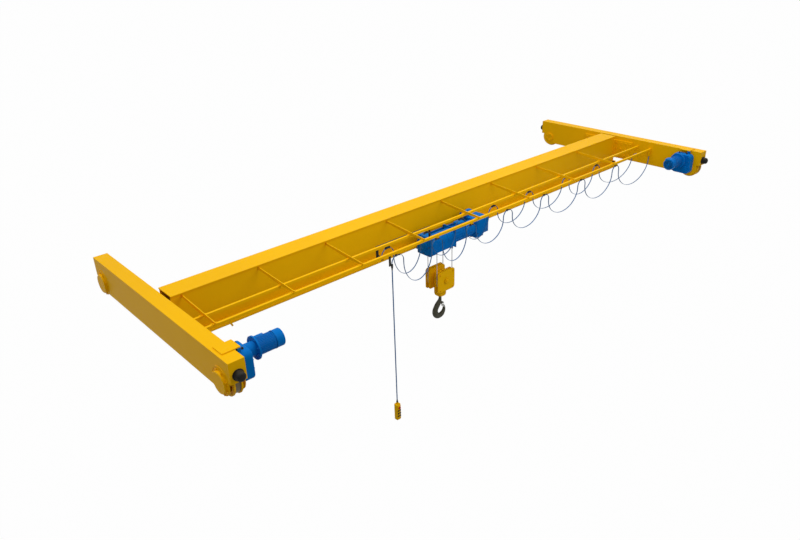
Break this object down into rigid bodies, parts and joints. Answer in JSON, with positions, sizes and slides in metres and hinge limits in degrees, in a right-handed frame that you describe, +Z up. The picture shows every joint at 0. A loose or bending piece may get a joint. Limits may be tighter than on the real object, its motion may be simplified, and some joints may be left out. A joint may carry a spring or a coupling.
{
  "type": "overhead bridge crane",
  "caption": "Single-girder overhead bridge crane with a box girder on end carriages, a low-headroom rope hoist, a hook block, festoon cables and a pendant.",
  "frame": {"origin": "level with the top of the runway rails, midway between the two rails and between the front and back wheels", "axes": "+X along the girder from the left end carriage to the right one, +Y along the runway away from the hoist and festoon side, +Z up"},
  "size_m": [9.244, 3.468, 2.696],
  "materials": {
    "crane_yellow": "semi-gloss traffic yellow",
    "drive_blue": "semi-gloss blue",
    "wheel_steel": "machined",
    "black_rubber": "matte",
    "trolley_dark": "dark",
    "cable_sheath": "matte blue-grey",
    "rope_steel": "stranded wire",
    "hook_iron": "forged, dark olive",
    "latch_steel": "zinc plated",
    "pendant_yellow": "moulded"
  },
  "bodies": {
    "bridge": {"girder_top_plate": "crane_yellow", "girder_front_web": "crane_yellow", "girder_back_web": "crane_yellow", "girder_bottom_flange": "crane_yellow", "girder_diaphragms": "crane_yellow", "girder_end_plates": "crane_yellow", "carriage_head_plates": "crane_yellow", "left_end_carriage": "crane_yellow", "right_end_carriage": "crane_yellow", "left_buffers": "black_rubber", "right_buffers": "black_rubber", "left_travel_gearcase": "drive_blue", "right_travel_gearcase": "drive_blue", "left_travel_motor": "drive_blue", "right_travel_motor": "drive_blue", "inner_festoon_rail": "crane_yellow", "outer_festoon_rail": "crane_yellow", "rail_arms": "crane_yellow", "festoon_end_clamps": "trolley_dark", "hoist_supply_cable": "cable_sheath", "pendant_supply_cable": "cable_sheath"},
    "left_front_wheel": {"left_front_wheel": "wheel_steel"},
    "left_back_wheel": {"left_back_wheel": "wheel_steel"},
    "right_front_wheel": {"right_front_wheel": "wheel_steel"},
    "right_back_wheel": {"right_back_wheel": "wheel_steel"},
    "hoist": {"trolley_plates": "drive_blue", "trolley_wheels": "wheel_steel", "trolley_cross_beams": "drive_blue", "hoist_gear_housing": "drive_blue", "hoist_drum_casing": "drive_blue", "hoist_bearing_plate": "drive_blue", "hoist_motor": "drive_blue", "hoist_control_box": "drive_blue", "trolley_drive": "drive_blue", "tow_arm": "trolley_dark", "hoist_ropes": "rope_steel"},
    "hook_block": {"hook_block_covers": "crane_yellow", "rope_sheaves": "wheel_steel", "hook_crosshead": "crane_yellow"},
    "hook": {"load_hook": "hook_iron"},
    "latch": {"safety_latch": "latch_steel"},
    "pendant": {"pendant_trolley": "trolley_dark", "pendant_cable": "cable_sheath", "pendant_station": "pendant_yellow"},
    "inner_trolley_1": {"inner_cable_trolley_1": "trolley_dark"},
    "inner_trolley_2": {"inner_cable_trolley_2": "trolley_dark"},
    "inner_trolley_3": {"inner_cable_trolley_3": "trolley_dark"},
    "inner_trolley_4": {"inner_cable_trolley_4": "trolley_dark"},
    "inner_trolley_5": {"inner_cable_trolley_5": "trolley_dark"},
    "inner_trolley_6": {"inner_cable_trolley_6": "trolley_dark"},
    "inner_leading_trolley": {"inner_leading_trolley": "trolley_dark"},
    "outer_trolley_1": {"outer_cable_trolley_1": "trolley_dark"},
    "outer_trolley_2": {"outer_cable_trolley_2": "trolley_dark"},
    "outer_trolley_3": {"outer_cable_trolley_3": "trolley_dark"},
    "outer_trolley_4": {"outer_cable_trolley_4": "trolley_dark"},
    "outer_trolley_5": {"outer_cable_trolley_5": "trolley_dark"},
    "outer_trolley_6": {"outer_cable_trolley_6": "trolley_dark"},
    "outer_leading_trolley": {"outer_leading_trolley": "trolley_dark"}
  },
  "joints": [
    {"name": "left_front_wheel_spin", "type": "hinge", "parent": "bridge", "child": "left_front_wheel", "pos_m": [-4.5, -1.455, 0.1575], "axis": [1, 0, 0], "continuous": true},
    {"name": "left_back_wheel_spin", "type": "hinge", "parent": "bridge", "child": "left_back_wheel", "pos_m": [-4.5, 1.455, 0.1575], "axis": [1, 0, 0], "continuous": true},
    {"name": "right_front_wheel_spin", "type": "hinge", "parent": "bridge", "child": "right_front_wheel", "pos_m": [4.5, -1.455, 0.1575], "axis": [1, 0, 0], "continuous": true},
    {"name": "right_back_wheel_spin", "type": "hinge", "parent": "bridge", "child": "right_back_wheel", "pos_m": [4.5, 1.455, 0.1575], "axis": [1, 0, 0], "continuous": true},
    {"name": "hoist_travel", "type": "slide", "parent": "bridge", "child": "hoist", "axis": [1, 0, 0], "range_m": [-2.1, 3.2], "deforming": ["hoist_supply_cable"]},
    {"name": "hook_lift", "type": "slide", "parent": "hoist", "child": "hook_block", "axis": [0, 0, 1], "range_m": [-6, 0.18], "deforming": ["hoist_ropes"]},
    {"name": "hook_swivel", "type": "hinge", "parent": "hook_block", "child": "hook", "pos_m": [-0.49, -0.3, -0.905], "axis": [0, 0, 1], "continuous": true},
    {"name": "safety_latch_hinge", "type": "hinge", "parent": "hook", "child": "latch", "pos_m": [-0.452, -0.3, -1.046], "axis": [0, 1, 0], "range_deg": [0, 45], "stiffness_Nm_per_rad": 0.4, "springref_deg": -20.05},
    {"name": "pendant_travel", "type": "slide", "parent": "bridge", "child": "pendant", "axis": [1, 0, 0], "range_m": [-2.1, 3.2], "deforming": ["pendant_supply_cable"]},
    {"name": "inner_trolley_1_slide", "type": "slide", "parent": "bridge", "child": "inner_trolley_1", "axis": [1, 0, 0], "range_m": [-0.31269, 0.47648]},
    {"name": "inner_trolley_2_slide", "type": "slide", "parent": "inner_trolley_1", "child": "inner_trolley_2", "axis": [1, 0, 0], "range_m": [-0.31248, 0.47616]},
    {"name": "inner_trolley_3_slide", "type": "slide", "parent": "inner_trolley_2", "child": "inner_trolley_3", "axis": [1, 0, 0], "range_m": [-0.28854, 0.43968]},
    {"name": "inner_trolley_4_slide", "type": "slide", "parent": "inner_trolley_3", "child": "inner_trolley_4", "axis": [1, 0, 0], "range_m": [-0.28959, 0.44128]},
    {"name": "inner_trolley_5_slide", "type": "slide", "parent": "inner_trolley_4", "child": "inner_trolley_5", "axis": [1, 0, 0], "range_m": [-0.30366, 0.46272]},
    {"name": "inner_trolley_6_slide", "type": "slide", "parent": "inner_trolley_5", "child": "inner_trolley_6", "axis": [1, 0, 0], "range_m": [-0.29169, 0.44448]},
    {"name": "inner_leading_trolley_slide", "type": "slide", "parent": "inner_trolley_6", "child": "inner_leading_trolley", "axis": [1, 0, 0], "range_m": [-0.30135, 0.4592]},
    {"name": "outer_trolley_1_slide", "type": "slide", "parent": "bridge", "child": "outer_trolley_1", "axis": [1, 0, 0], "range_m": [-0.33747, 0.51424]},
    {"name": "outer_trolley_2_slide", "type": "slide", "parent": "outer_trolley_1", "child": "outer_trolley_2", "axis": [1, 0, 0], "range_m": [-0.32403, 0.49376]},
    {"name": "outer_trolley_3_slide", "type": "slide", "parent": "outer_trolley_2", "child": "outer_trolley_3", "axis": [1, 0, 0], "range_m": [-0.29232, 0.44544]},
    {"name": "outer_trolley_4_slide", "type": "slide", "parent": "outer_trolley_3", "child": "outer_trolley_4", "axis": [1, 0, 0], "range_m": [-0.29673, 0.45216]},
    {"name": "outer_trolley_5_slide", "type": "slide", "parent": "outer_trolley_4", "child": "outer_trolley_5", "axis": [1, 0, 0], "range_m": [-0.30198, 0.46016]},
    {"name": "outer_trolley_6_slide", "type": "slide", "parent": "outer_trolley_5", "child": "outer_trolley_6", "axis": [1, 0, 0], "range_m": [-0.26187, 0.39904]},
    {"name": "outer_leading_trolley_slide", "type": "slide", "parent": "outer_trolley_6", "child": "outer_leading_trolley", "axis": [1, 0, 0], "range_m": [-0.2856, 0.4352]}
  ],
  "couplings": [
    {"joint": "inner_trolley_1_slide", "follows": "hoist_travel", "ratio": 0.1489},
    {"joint": "inner_trolley_2_slide", "follows": "hoist_travel", "ratio": 0.1488},
    {"joint": "inner_trolley_3_slide", "follows": "hoist_travel", "ratio": 0.1374},
    {"joint": "inner_trolley_4_slide", "follows": "hoist_travel", "ratio": 0.1379},
    {"joint": "inner_trolley_5_slide", "follows": "hoist_travel", "ratio": 0.1446},
    {"joint": "inner_trolley_6_slide", "follows": "hoist_travel", "ratio": 0.1389},
    {"joint": "inner_leading_trolley_slide", "follows": "hoist_travel", "ratio": 0.1435},
    {"joint": "outer_trolley_1_slide", "follows": "pendant_travel", "ratio": 0.1607},
    {"joint": "outer_trolley_2_slide", "follows": "pendant_travel", "ratio": 0.1543},
    {"joint": "outer_trolley_3_slide", "follows": "pendant_travel", "ratio": 0.1392},
    {"joint": "outer_trolley_4_slide", "follows": "pendant_travel", "ratio": 0.1413},
    {"joint": "outer_trolley_5_slide", "follows": "pendant_travel", "ratio": 0.1438},
    {"joint": "outer_trolley_6_slide", "follows": "pendant_travel", "ratio": 0.1247},
    {"joint": "outer_leading_trolley_slide", "follows": "pendant_travel", "ratio": 0.136}
  ]
}
